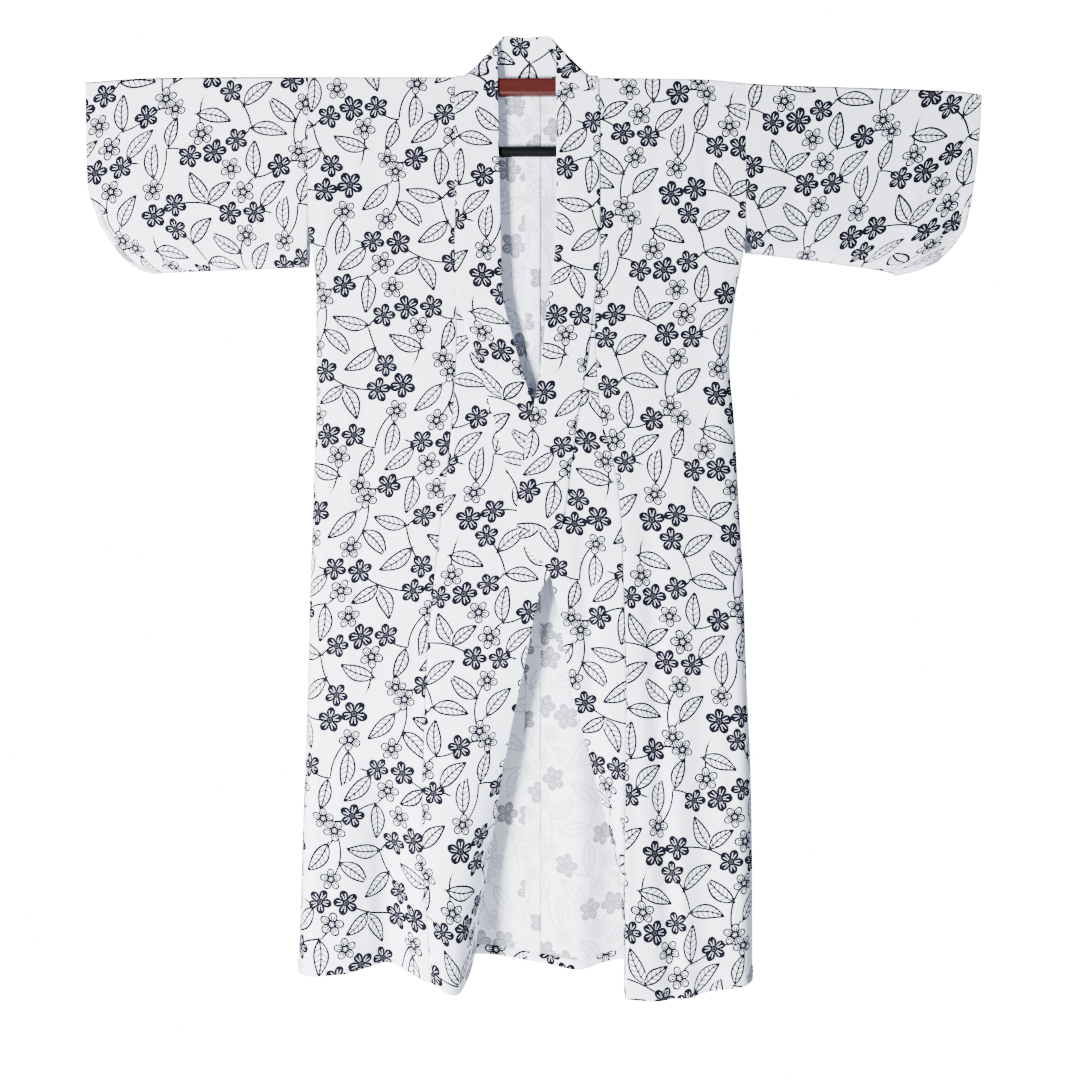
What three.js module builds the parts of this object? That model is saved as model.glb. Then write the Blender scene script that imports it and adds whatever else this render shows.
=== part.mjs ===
// A cotton yukata robe hanging on a kimono hanger.
// Millimetres, +Z up, the robe's front faces -Y. The origin is the middle of the bar's top face.
// Left and right are the wearer's, so the right half lies at -X, and the left front laps over it.
// Every piece of cloth is a thin wall through sections of the hanging robe. A place on it is given
// by its drop below the shoulder fold and by how far it has gone across the piece.
import * as THREE from "three";

const cloth = { wall: 1.2, band: 2.2, gap: 0.4 };
const bar = { depth: 16, height: 25, corner: 4, clear: 0.6 };
const rod = { diameter: 15, length: 360, top: -100 };
const strap = { x: 150, width: 12, wall: 3, eye: 9.4, slack: 0.3, clear: 0.7 };
const shoulder = { side: 322, slopeFrom: 60, slopeTo: 400 };
const neck = { half: 104, corner: 6, drop: 0.4, step: 1.1 };
const collar = {
  width: 60, wrap: 12, wrapFree: 7, start: 25, seamRise: 1.4, cover: 1.4, stand: 1.2, behind: 0.6, hug: 0.35, sag: 4,
  endRight: 675, endLeft: 667,
};
const okumiPoint = { right: 315, left: 325 };
const lap = { lift: 7, from: 330, to: 470, sideShare: 0.2, seamShare: 0.95 };
const sideCurl = { width: 30, columns: 3, from: 200, to: 330, clear: 0.8 };
const hem = { freeFrom: 900, fullDrop: 1330, foldsReach: 1300 };
const tube = { inner: 322.4, mouth: 175, mouthFade: 25, closing: 0.86, outerRound: 0.86, bodyShare: 0.2, least: 2 };

const black = "#232326", wood = "#7d3226", cotton = "#e9eaf0";

// how far the front and the back stand from the hanger's middle, at each drop
const hang = [
  { drop: 0, front: 9.8, back: 9.8 },
  { drop: 100, front: 12, back: 11 },
  { drop: 300, front: 16, back: 13 },
  { drop: 500, front: 20, back: 15 },
  { drop: 750, front: 27, back: 19 },
  { drop: 1000, front: 37, back: 28 },
  { drop: 1330, front: 48, back: 44 },
];

// the right half's lines, from the side edge in to the free edge, and the okumi's ridge and edge in depth
const rightLines = [
  { drop: 0, side: -322, seam: -104, band: -104, edge: -44, ridge: 30, out: 0, back: 0 },
  { drop: 200, side: -322, seam: -104, band: -104, edge: -40, ridge: 30, out: 0, back: 0 },
  { drop: 315, side: -312, seam: -104, band: -103, edge: -37, ridge: 30, out: 0, back: 0 },
  { drop: 390, side: -312, seam: -103, band: -79, edge: -20, ridge: 30, out: 0, back: 0 },
  { drop: 475, side: -312, seam: -107, band: -55, edge: 5, ridge: 30, out: 0, back: 0 },
  { drop: 575, side: -315, seam: -116, band: -29, edge: 37, ridge: 45, out: 0, back: 0 },
  { drop: 675, side: -318, seam: -128, band: 2, edge: 66, ridge: 60, out: 0, back: 0 },
  { drop: 758, side: -321, seam: -137, band: 19, edge: 19, ridge: 78, out: 1, back: 2 },
  { drop: 850, side: -323, seam: -145, band: -1, edge: -1, ridge: 79, out: 4, back: 6 },
  { drop: 990, side: -327, seam: -150, band: -29, edge: -29, ridge: 72, out: 9, back: 16 },
  { drop: 1110, side: -331, seam: -152, band: -48, edge: -48, ridge: 64, out: 15, back: 33 },
  { drop: 1320, side: -337, seam: -138, band: -78, edge: -78, ridge: 45, out: 30, back: 70 },
];

const leftLines = [
  { drop: 0, side: 322, seam: 106, band: 106, edge: 45, ridge: 30, out: 0, back: 0 },
  { drop: 200, side: 322, seam: 106, band: 106, edge: 44, ridge: 30, out: 0, back: 0 },
  { drop: 255, side: 319, seam: 106, band: 106, edge: 42, ridge: 30, out: 0, back: 0 },
  { drop: 325, side: 308, seam: 99, band: 98, edge: 32, ridge: 30, out: 0, back: 0 },
  { drop: 420, side: 300, seam: 102, band: 87, edge: 22, ridge: 30, out: 0, back: 0 },
  { drop: 508, side: 307, seam: 110, band: 72, edge: 7, ridge: 30, out: 0, back: 0 },
  { drop: 560, side: 310, seam: 126, band: 65, edge: -5, ridge: 30, out: 0, back: 0 },
  { drop: 667, side: 316, seam: 139, band: 50, edge: -14, ridge: 60, out: 0, back: 0 },
  { drop: 735, side: 320, seam: 141, band: 35, edge: 35, ridge: 53, out: 0, back: 2 },
  { drop: 890, side: 325, seam: 145, band: 64, edge: 64, ridge: 40, out: 0, back: 9 },
  { drop: 1032, side: 331, seam: 143, band: 98, edge: 98, ridge: 14, out: 4, back: 22 },
  { drop: 1178, side: 333, seam: 142, band: 133, edge: 133, ridge: 6, out: 8, back: 48 },
  { drop: 1330, side: 333, seam: 143, band: 150, edge: 150, ridge: 6, out: 14, back: 76 },
];

// soft folds: where each starts and ends across and down, how wide and how deep; a trough goes inward
const lapFold = { x: 74, xEnd: 106, from: 520, to: 1080, width: 15, depth: 9 };
const rightFolds = [
  lapFold,
  { x: -205, xEnd: -206, from: 960, to: 1330, width: 36, depth: 34 },
  { x: -236, xEnd: -250, from: 300, to: 900, width: 14, depth: 4 },
  { x: -275, xEnd: -262, from: 30, to: 300, width: 13, depth: 4 },
];
const leftFolds = [
  { x: 165, xEnd: 214, from: 420, to: 1330, width: 17, depth: 11 },
  lapFold,
  { x: 250, xEnd: 262, from: 700, to: 1330, width: 24, depth: 8 },
];
const backFolds = [
  { x: 72, xEnd: 76, from: 700, to: 1330, width: 40, depth: 20 },
  { x: -70, xEnd: -64, from: 900, to: 1330, width: 48, depth: -12 },
  { x: -215, xEnd: -220, from: 700, to: 1330, width: 40, depth: 12 },
  { x: 232, xEnd: 240, from: 800, to: 1330, width: 44, depth: 11 },
];

// how low the hem hangs, by how far across the front it is: 1 is the okumi seam and 2 the free edge
const rightHem = [
  { at: 0, drop: 1314 }, { at: 0.35, drop: 1310 }, { at: 0.65, drop: 1302 }, { at: 1, drop: 1322 },
  { at: 1.5, drop: 1340 }, { at: 1.8, drop: 1322 }, { at: 2, drop: 1298 },
];
const leftHem = [
  { at: 0, drop: 1324 }, { at: 0.3, drop: 1334 }, { at: 0.7, drop: 1347 }, { at: 1, drop: 1343 },
  { at: 1.2, drop: 1336 }, { at: 2, drop: 1300 },
];
// and across the back, from the right side seam to the left one
const backHem = [
  { at: -335, drop: 1314 }, { at: -77, drop: 1310 }, { at: 75, drop: 1324 }, { at: 142, drop: 1315 },
  { at: 335, drop: 1324 },
];

// the sleeves: the top fold's line out from the body, and the outer edge's reach at each drop
const rightTop = [
  { at: 0, z: 0 }, { at: 430, z: 0 }, { at: 560, z: -1.8 }, { at: 650, z: -8 },
];
const leftTop = [
  { at: 0, z: 0 }, { at: 250, z: -3 }, { at: 345, z: -10.5 }, { at: 640, z: -21.5 }, { at: 670, z: -26 },
];
const rightSleeve = {
  sign: -1, top: rightTop, bottomIn: 279, bottomOut: 288,
  reach: [
    { drop: 0, x: 650 }, { drop: 150, x: 647 }, { drop: 201, x: 636 }, { drop: 253, x: 606 },
    { drop: 279, x: 580 }, { drop: 288, x: 556 },
  ],
};
const leftSleeve = {
  sign: 1, top: leftTop, bottomIn: 258, bottomOut: 291,
  reach: [
    { drop: 0, x: 670 }, { drop: 75, x: 666 }, { drop: 179, x: 654 }, { drop: 211, x: 649 },
    { drop: 238, x: 634 }, { drop: 265, x: 611 }, { drop: 282, x: 582 }, { drop: 291, x: 548 },
  ],
};

// a table's column at a place between its rows
function follow(table, key, at, column) {
  const last = table.length - 1;
  if (at <= table[0][key]) return table[0][column];
  if (at >= table[last][key]) return table[last][column];
  const i = table.findIndex((row) => row[key] > at);
  const a = table[i - 1], b = table[i];
  return THREE.MathUtils.mapLinear(at, a[key], b[key], a[column], b[column]);
}

const mix = THREE.MathUtils.lerp;
const ease = THREE.MathUtils.smoothstep;

// how far inward the folds push the cloth at a place
function foldDepth(folds, x, drop) {
  let depth = 0;
  for (const fold of folds) {
    const middle = THREE.MathUtils.mapLinear(drop, fold.from, fold.to, fold.x, fold.xEnd);
    const begins = ease(drop, fold.from, mix(fold.from, fold.to, 0.6));
    const ends = fold.to > hem.foldsReach ? 1 : ease(-drop, -fold.to, -mix(fold.from, fold.to, 0.7));
    depth += fold.depth * begins * ends * Math.exp(-(((x - middle) / fold.width) ** 2));
  }
  return depth;
}

const curlShare = (drop) => ease(drop, sideCurl.from, sideCurl.to);

// x and the share of the depth at a column, when the first columns turn round the side edge
const frontColumns = 10;
function roundTheSide(column, side, inner, drop) {
  const away = Math.sign(inner - side);
  if (column <= sideCurl.columns) {
    const turn = (column / sideCurl.columns) * (Math.PI / 2);
    const share = mix(1, Math.sin(turn), curlShare(drop));
    return { x: side + away * sideCurl.width * (1 - Math.cos(turn)), share };
  }
  const start = side + away * sideCurl.width;
  return { x: mix(start, inner, (column - sideCurl.columns) / (frontColumns - sideCurl.columns)), share: 1 };
}

const overRows = 3;
const dropsOf = (half) => [
  4, 14, 25, 60, 110, 160, 197, 240, 280, half.point + 6, 400, 480, 560, half.end - 1, half.end + 1,
  740, 840, 940, 1040, 1130, 1210, 1270, hem.fullDrop,
];

// the wall's way over the bar's top, from the middle (0) to where it hangs (1); sign is -1 at the front
function overTheBar(share, sign, wall) {
  const flat = bar.depth / 2 - bar.corner, round = bar.corner + bar.clear + wall;
  const arc = (Math.PI / 2) * round, way = share * (flat + arc);
  if (way < flat) return { y: sign * Math.max(way, cloth.gap / 2), z: round - bar.corner };
  const turn = (way - flat) / round;
  return { y: sign * (flat + round * Math.sin(turn)), z: round * Math.cos(turn) - bar.corner };
}

// the height of the wall's outer face where it lies over the bar, and far below where it doesn't
function coverHeight(y, wall) {
  const flat = bar.depth / 2 - bar.corner, round = bar.corner + bar.clear + wall;
  const past = Math.max(Math.abs(y) - flat, 0);
  return past < round ? Math.sqrt(round ** 2 - past ** 2) - bar.corner : -Infinity;
}

const liftAt = (half, drop) => (half.sign > 0 ? lap.lift * ease(drop, lap.from, lap.to) : 0);

const rightHalf = {
  sign: -1, lines: rightLines, folds: rightFolds, hem: rightHem, top: rightTop,
  point: okumiPoint.right, end: collar.endRight,
};
const leftHalf = {
  sign: 1, lines: leftLines, folds: leftFolds, hem: leftHem, top: leftTop,
  point: okumiPoint.left, end: collar.endLeft,
};
const inward = (half, distance) => -half.sign * distance;

// the top fold slopes down to the sleeves, and the cloth below it less and less
const slopeAt = (half, x, drop) => (
  follow(half.top, "at", Math.abs(x), "z") * (1 - ease(drop, shoulder.slopeFrom, shoulder.slopeTo))
);

// a front's lap over the other grows from the side in to the seam
function frontDepth(half, x, drop) {
  const side = follow(half.lines, "drop", drop, "side"), seam = follow(half.lines, "drop", drop, "seam");
  const share = ease((x - side) / (seam - side), lap.sideShare, lap.seamShare);
  return follow(hang, "drop", drop, "front") + liftAt(half, drop) * share - foldDepth(half.folds, x, drop);
}

// stretches the nominal drops so that the last one meets the hem
function reachHem(drop, hemDrop) {
  if (drop < hem.freeFrom) return drop;
  return mix(hem.freeFrom, hemDrop, (drop - hem.freeFrom) / (hem.fullDrop - hem.freeFrom));
}

function frontPoint(half, row, column) {
  if (row < overRows) {
    const place = overTheBar(row / overRows, -1, cloth.wall);
    const { x } = roundTheSide(column, half.sign * shoulder.side, half.sign * neck.half, 0);
    return new THREE.Vector3(x, place.y, place.z + slopeAt(half, x, 0));
  }
  const nominal = dropsOf(half)[row - overRows];
  const at = (line) => follow(half.lines, "drop", nominal, line);
  const inner = at(nominal < half.point ? "band" : "seam") - inward(half, cloth.gap / 2);
  const { x, share } = roundTheSide(column, at("side"), inner, nominal);
  const drop = reachHem(nominal, follow(half.hem, "at", column / frontColumns, "drop"));
  const depth = Math.max(frontDepth(half, x, nominal) * share, sideCurl.clear);
  return new THREE.Vector3(x, -depth, slopeAt(half, x, nominal) - drop);
}

// the okumi, from its seam to the band or the free edge, along a curve that turns round its ridge
function okumiPointAt(half, nominal, share) {
  const at = (column) => follow(half.lines, "drop", nominal, column);
  const depth = frontDepth(half, at("seam"), nominal);
  const innerX = nominal < half.end ? at("band") - inward(half, cloth.gap / 2) : at("edge");
  const seamX = at("seam") + inward(half, cloth.gap / 2);
  const ridgeX = seamX + inward(half, Math.min(at("ridge"), Math.abs(innerX - seamX) / 2 + at("out")));
  const curve = new THREE.QuadraticBezierCurve(
    new THREE.Vector2(seamX, -depth),
    new THREE.Vector2(ridgeX, -(depth + at("out"))),
    new THREE.Vector2(innerX, at("back") - follow(hang, "drop", nominal, "front") - liftAt(half, nominal)),
  );
  const place = curve.getPoint(share);
  const pull = foldDepth(half.folds, place.x, nominal) - foldDepth(half.folds, at("seam"), nominal) * (1 - share);
  const drop = reachHem(nominal, follow(half.hem, "at", 1 + share, "drop"));
  return new THREE.Vector3(place.x, place.y + pull, -drop);
}

const okumiColumns = 6;
function okumiGrid(half) {
  const drops = dropsOf(half).filter((drop) => drop > half.point);
  return drops.map((drop) => range(okumiColumns).map((column) => okumiPointAt(half, drop, column / okumiColumns)));
}

const range = (count) => Array.from({ length: count + 1 }, (_, i) => i);

// the back's columns past the side's curl, with two close together at the corner of the neck
const backShares = [0.79, 0.57, 0.3575, 0.338, 0.22, 0.11, 0];

// the back hangs from the bar's top beside the neck, and from the neck seam behind it
function backPoint(half, row, column) {
  const nominal = row < overRows ? 0 : dropsOf(half)[row - overRows];
  const side = follow(half.lines, "drop", nominal, "side");
  const turned = roundTheSide(column, side, 0, nominal);
  const turnedIn = side - half.sign * sideCurl.width, flatColumn = column - sideCurl.columns - 1;
  const x = flatColumn < 0 ? turned.x : mix(half.sign * cloth.gap / 2, turnedIn, backShares[flatColumn]);
  if (row < overRows) {
    const place = overTheBar(row / overRows, 1, cloth.wall);
    if (Math.abs(x) > neck.half - neck.corner) return new THREE.Vector3(x, place.y, place.z + slopeAt(half, x, 0));
    return new THREE.Vector3(x, bar.depth / 2 + bar.clear + cloth.wall, -neck.drop - row * neck.step);
  }
  const depth = follow(hang, "drop", nominal, "back") - foldDepth(backFolds, x, nominal);
  const drop = reachHem(nominal, follow(backHem, "at", x, "drop"));
  const y = Math.max(depth * turned.share, sideCurl.clear);
  return new THREE.Vector3(x, y, slopeAt(half, x, nominal) - drop);
}

// a sleeve: a flat tube over the bar, closed along the bottom and round its outer corner
const ringDrops = [1, 0.985, 0.94, 0.86, 0.74, 0.6, 0.44, 0.28, 0.12, 0.04];

// on the bar, at a share of the way from its middle to where the cloth hangs
function sleeveOver(sleeve, outward, share, sign) {
  const x = mix(tube.inner, sleeve.reach[0].x, outward);
  const over = overTheBar(share, sign, cloth.wall);
  return new THREE.Vector3(sleeve.sign * x, over.y, over.z + follow(sleeve.top, "at", x, "z"));
}

// below the bar, at a share of the sleeve's own drop
function sleeveHanging(sleeve, outward, share, sign) {
  const drop = share * mix(sleeve.bottomIn, sleeve.bottomOut, outward);
  const x = mix(tube.inner, follow(sleeve.reach, "drop", drop, "x"), outward);
  const atBody = follow(hang, "drop", drop, sign < 0 ? "front" : "back");
  const loose = mix(atBody, hang[0].front, ease(outward, 0, tube.bodyShare));
  const past = Math.max(share - tube.closing, 0) / (1 - tube.closing);
  const sewn = ease(outward, tube.outerRound, 1) * ease(drop, tube.mouth, tube.mouth + tube.mouthFade);
  const depth = Math.max(loose * (1 - sewn), tube.least) * Math.sqrt(1 - past ** 2);
  return new THREE.Vector3(sleeve.sign * x, sign * depth, follow(sleeve.top, "at", x, "z") * (1 - share) - drop);
}

function sleeveRing(sleeve, outward) {
  const up = ringDrops.map((share) => sleeveHanging(sleeve, outward, share, -1));
  const overFront = [1, 2 / 3, 1 / 3].map((share) => sleeveOver(sleeve, outward, share, -1));
  const overBack = [1 / 3, 2 / 3].map((share) => sleeveOver(sleeve, outward, share, 1));
  const down = ringDrops.slice(1).reverse().map((share) => sleeveHanging(sleeve, outward, share, 1));
  return [...up, ...overFront, ...overBack, ...down];
}

// the collar band: up one front, round the back of the neck, and down the other front.
// At the shoulder the strip turns a corner, so it wraps round a slanting line there.
function collarFront(half, drop, share) {
  const x = mix(follow(half.lines, "drop", drop, "band"), follow(half.lines, "drop", drop, "edge"), share);
  const stand = follow(hang, "drop", drop, "front") + liftAt(half, drop) + collar.stand;
  return new THREE.Vector3(x, foldDepth(half.folds, x, drop) - stand, -drop);
}

function collarNeck(half, along, share) {
  const width = share * collar.width, radius = mix(collar.wrap, collar.wrapFree, share);
  const foot = collar.seamRise - (Math.PI * collar.wrap) / Math.SQRT2;
  const across = (along * (neck.half + (Math.PI * radius) / Math.SQRT2) - width) / Math.SQRT2;
  const turn = THREE.MathUtils.clamp(across / radius, 0, Math.PI);
  const gone = Math.max(across - Math.PI * radius, 0) * Math.SQRT2;
  const x = neck.half - width - (radius * (turn - Math.sin(turn))) / Math.SQRT2 - gone;
  const before = Math.min(across, 0) * Math.SQRT2;
  const risen = (collar.wrap * turn + radius * Math.sin(turn)) / Math.SQRT2;
  const lifted = Math.max(-foot - collar.start, 0) - share * collar.sag * ease(gone, 0, neck.half / 2);
  const z = foot + width + before + risen + lifted;
  const y = radius * (1 - Math.cos(turn)) - collar.wrap - collar.behind + 2 * collar.behind * ease(turn, 0, Math.PI);
  const toSeam = collar.hug * (1 - share) ** 2 * ease(turn, Math.PI / 2, Math.PI);
  const cover = coverHeight(y, cloth.band + collar.cover);
  return new THREE.Vector3(half.sign * Math.max(x * (1 + toSeam), 0), y, Math.max(z, cover));
}

const collarColumns = 4, neckRows = 16;
function collarGrid() {
  const frontRows = (half) => [half.end, 640, 600, 560, 520, 480, 440, 400, 360, 325, 290, 240, 180, 110, 60, 32];
  const row = (point) => range(collarColumns).map((column) => point(column / collarColumns));
  const up = frontRows(rightHalf).map((drop) => row((share) => collarFront(rightHalf, drop, share)));
  const round = range(neckRows).map((i) => row((share) => collarNeck(rightHalf, i / neckRows, share)));
  const back = range(neckRows - 1).map((i) => row((share) => collarNeck(leftHalf, (neckRows - 1 - i) / neckRows, share)));
  const down = frontRows(leftHalf).reverse().map((drop) => row((share) => collarFront(leftHalf, drop, share)));
  return [...up, ...round, ...back, ...down];
}

// a wall through a grid of points on its outer face; the wall goes to the side that
// (next column - this one) x (next row - this one) points to
function wallSolid(grid, wall, around = false) {
  const rows = grid.length, columns = grid[0].length;
  const near = (i, j) => {
    const row = grid[THREE.MathUtils.clamp(i, 0, rows - 1)];
    return around ? row[(j + columns) % columns] : row[THREE.MathUtils.clamp(j, 0, columns - 1)];
  };
  const position = [];
  for (const inside of [0, wall]) {
    for (let i = 0; i < rows; i++) for (let j = 0; j < columns; j++) {
      const across = near(i, j + 1).clone().sub(near(i, j - 1));
      const down = near(i + 1, j).clone().sub(near(i - 1, j));
      position.push(...near(i, j).clone().addScaledVector(across.cross(down).normalize(), inside).toArray());
    }
  }
  const outer = (i, j) => i * columns + (j % columns), inner = (i, j) => rows * columns + outer(i, j);
  const index = [];
  const quad = (a, b, c, d) => index.push(a, b, c, a, c, d);
  const spans = around ? columns : columns - 1;
  for (let i = 0; i < rows - 1; i++) for (let j = 0; j < spans; j++) {
    quad(outer(i, j), outer(i + 1, j), outer(i + 1, j + 1), outer(i, j + 1));
    quad(inner(i, j), inner(i, j + 1), inner(i + 1, j + 1), inner(i + 1, j));
  }
  for (let j = 0; j < spans; j++) {
    quad(outer(0, j), outer(0, j + 1), inner(0, j + 1), inner(0, j));
    quad(outer(rows - 1, j + 1), outer(rows - 1, j), inner(rows - 1, j), inner(rows - 1, j + 1));
  }
  if (!around) for (let i = 0; i < rows - 1; i++) {
    quad(outer(i + 1, 0), outer(i, 0), inner(i, 0), inner(i + 1, 0));
    quad(outer(i, spans), outer(i + 1, spans), inner(i + 1, spans), inner(i, spans));
  }
  return indexed(position, index);
}

function indexed(position, index) {
  const geometry = new THREE.BufferGeometry();
  geometry.setAttribute("position", new THREE.Float32BufferAttribute(position, 3));
  geometry.setIndex(index);
  geometry.computeVertexNormals();
  return geometry;
}

// a bar through rings of points, closed by a flat face at each end
function barSolid(rings) {
  const count = rings[0].length, position = [], index = [];
  for (const ring of rings) for (const point of ring) position.push(...point.toArray());
  for (let i = 0; i < rings.length - 1; i++) for (let j = 0; j < count; j++) {
    const a = i * count + j, b = i * count + ((j + 1) % count);
    index.push(a, b + count, a + count, a, b, b + count);
  }
  const last = (rings.length - 1) * count;
  for (let j = 1; j < count - 1; j++) index.push(0, j + 1, j, last, last + j, last + j + 1);
  return indexed(position, index);
}

const robe = new THREE.Group();
function add(name, geometry, color, roughness = 0.85) {
  const mesh = new THREE.Mesh(geometry, new THREE.MeshStandardMaterial({ color, roughness, metalness: 0 }));
  mesh.name = name;
  robe.add(mesh);
  return mesh;
}

for (const [side, half, sleeve] of [["right", rightHalf, rightSleeve], ["left", leftHalf, leftSleeve]]) {
  // the columns run towards +X on a front and towards -X on a back, so that the wall goes inside
  const ordered = (columns, towards) => (half.sign * towards < 0 ? range(columns) : range(columns).reverse());
  const rows = range(overRows + dropsOf(half).length - 1);
  const front = rows.map((i) => ordered(frontColumns, 1).map((j) => frontPoint(half, i, j)));
  const back = rows.map((i) => ordered(frontColumns, -1).map((j) => backPoint(half, i, j)));
  const okumi = okumiGrid(half).map((row) => (half.sign < 0 ? row : row.reverse()));
  const rings = [0, 0.03, 0.12, 0.3, 0.5, 0.7, 0.84, 0.92, 0.97, 1].map((outward) => sleeveRing(sleeve, outward));
  add(`front_${side}`, wallSolid(front, cloth.wall), cotton);
  add(`okumi_${side}`, wallSolid(okumi, cloth.wall), cotton);
  add(`back_${side}`, wallSolid(back, cloth.wall), cotton);
  add(`sleeve_${side}`, wallSolid(half.sign < 0 ? rings : rings.reverse(), cloth.wall, true), cotton);
}
add("collar_band", wallSolid(collarGrid(), cloth.band), cotton);

// the hanger's bar: a rounded section, level in the middle, its arms dropping a little to the ends
function barRing(x, top) {
  const halfDepth = bar.depth / 2 - bar.corner, halfHeight = bar.height / 2 - bar.corner;
  const ring = [];
  for (const [cornerY, cornerZ, start] of [[1, 1, 0], [-1, 1, 1], [-1, -1, 2], [1, -1, 3]]) {
    for (const step of [0, 1, 2]) {
      const turn = (start + step / 2) * (Math.PI / 2);
      ring.push(new THREE.Vector3(
        x, cornerY * halfDepth + bar.corner * Math.cos(turn),
        top - bar.height / 2 + cornerZ * halfHeight + bar.corner * Math.sin(turn),
      ));
    }
  }
  return ring;
}
const barStations = [
  { x: -628, top: -7 }, { x: -560, top: -2.6 }, { x: -430, top: -0.6 }, { x: -40, top: 0 }, { x: 40, top: 0 },
  { x: 104, top: -1.8 }, { x: 250, top: -4.2 }, { x: 345, top: -11 }, { x: 638, top: -22 },
];
add("hanger_bar", barSolid(barStations.map(({ x, top }) => barRing(x, top))), wood, 0.45);

const rodAxis = rod.top - rod.diameter / 2;
const rodGeometry = new THREE.CylinderGeometry(rod.diameter / 2, rod.diameter / 2, rod.length, 24);
const rodMesh = add("hanger_rod", rodGeometry, black, 0.5);
rodMesh.rotation.z = Math.PI / 2;
rodMesh.position.z = rodAxis;

// a strap on each side carries the rod, which passes through its eye
for (const [side, sign] of [["right", -1], ["left", 1]]) {
  const under = follow(barStations, "x", sign * strap.x, "top") - bar.height - strap.clear;
  const outline = new THREE.Shape();
  const spread = Math.asin(strap.width / 2 / strap.eye);
  outline.moveTo(-strap.width / 2, under);
  outline.absarc(0, rodAxis, strap.eye, Math.PI / 2 + spread, Math.PI * 2.5 - spread, false);
  outline.lineTo(strap.width / 2, under);
  outline.closePath();
  const eye = new THREE.Path();
  eye.absarc(0, rodAxis, rod.diameter / 2 + strap.slack, 0, Math.PI * 2, true);
  outline.holes.push(eye);
  const blade = new THREE.ExtrudeGeometry(outline, { depth: strap.wall, bevelEnabled: false, curveSegments: 10 });
  const mesh = add(`rod_strap_${side}`, blade, black, 0.5);
  mesh.quaternion.setFromAxisAngle(new THREE.Vector3(1, 1, 1).normalize(), (Math.PI * 2) / 3);
  mesh.position.x = sign * strap.x - strap.wall / 2;
}

export default robe;
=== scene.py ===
import math

import bmesh
import bpy
import numpy as np
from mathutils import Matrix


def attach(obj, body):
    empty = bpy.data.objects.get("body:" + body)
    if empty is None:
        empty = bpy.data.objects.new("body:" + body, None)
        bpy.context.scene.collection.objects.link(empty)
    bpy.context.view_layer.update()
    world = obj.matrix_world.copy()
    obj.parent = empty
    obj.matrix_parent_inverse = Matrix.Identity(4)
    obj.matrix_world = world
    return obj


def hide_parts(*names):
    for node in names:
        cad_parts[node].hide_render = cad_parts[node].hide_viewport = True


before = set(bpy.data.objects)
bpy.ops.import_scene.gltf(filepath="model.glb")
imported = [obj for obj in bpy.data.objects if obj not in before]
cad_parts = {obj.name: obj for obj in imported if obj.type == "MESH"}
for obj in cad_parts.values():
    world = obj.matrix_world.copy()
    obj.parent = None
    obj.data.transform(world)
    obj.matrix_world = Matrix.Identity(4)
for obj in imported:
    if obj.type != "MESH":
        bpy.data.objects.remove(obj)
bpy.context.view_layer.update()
print("frame loaded")

# The robe's sections are in millimetres, from the middle of the bar's top face. A place on the cloth
# is found from its drop below the shoulder fold and from how far across the piece it is.
mm = 0.001
wall = 1.2
bar = {"flat": 4, "corner": 4, "round": 5.8, "back": 9.8, "steps": 8}
# edges that turn to the inside: the turn's radius and steps, and the strip's width and steps
hemTurn = {"radius": 1.1, "arc": (0.25, 0.5, 0.75, 1), "width": 14, "strip": (0.5, 1)}
edgeTurn = {"radius": 1.0, "arc": (0.25, 0.5, 0.75, 1), "width": 8, "strip": (0.5, 1)}
wristTurn = {"radius": 1.0, "arc": (0.33, 0.66, 1), "width": 9, "strip": (4 / 9, 1)}
sideCurl = {"width": 30, "columns": 12, "from": 200, "to": 330, "clear": 0.8}
hemRule = {"freeFrom": 900, "full": 1330}
lapLift = {"lift": 7, "from": 330, "to": 470, "side": 0.2, "seam": 0.95}
sewing = {"gap": 0.2, "dip": 0.9, "width": 2.6, "from": 40, "to": 80}
neckHalf = 104

# how far the front and the back stand from the hanger's middle, at each drop
hang = [
    (0, 9.8, 9.8), (100, 12, 11), (300, 16, 13), (500, 20, 15),
    (750, 27, 19), (1000, 37, 28), (1330, 48, 44),
]

# each half's lines at each drop: its side, the okumi's seam, the collar's seam, the free edge, and the
# okumi's ridge with how far it stands out and how far back its edge goes
lineNames = ["side", "seam", "band", "edge", "ridge", "out", "back"]
rightLines = [
    (0, -322, -104, -104, -44, 30, 0, 0), (200, -322, -104, -104, -40, 30, 0, 0),
    (315, -312, -104, -103, -37, 30, 0, 0), (390, -312, -103, -79, -20, 30, 0, 0),
    (475, -312, -107, -55, 5, 30, 0, 0), (575, -315, -116, -29, 37, 45, 0, 0),
    (675, -318, -128, 2, 66, 60, 0, 0), (758, -321, -137, 19, 19, 78, 1, 2),
    (850, -323, -145, -1, -1, 79, 4, 6), (990, -327, -150, -29, -29, 72, 9, 16),
    (1110, -331, -152, -48, -48, 64, 15, 33), (1320, -337, -138, -78, -78, 45, 30, 70),
]
leftLines = [
    (0, 322, 106, 106, 45, 30, 0, 0), (200, 322, 106, 106, 44, 30, 0, 0), (255, 319, 106, 106, 42, 30, 0, 0),
    (325, 308, 99, 98, 32, 30, 0, 0), (420, 300, 102, 87, 22, 30, 0, 0), (508, 307, 110, 72, 7, 30, 0, 0),
    (560, 310, 126, 65, -5, 30, 0, 0), (667, 316, 139, 50, -14, 60, 0, 0), (735, 320, 141, 35, 35, 53, 0, 2),
    (890, 325, 145, 64, 64, 40, 0, 9), (1032, 331, 143, 98, 98, 14, 4, 22),
    (1178, 333, 142, 133, 133, 6, 8, 48), (1330, 333, 143, 150, 150, 6, 14, 76),
]

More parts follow.
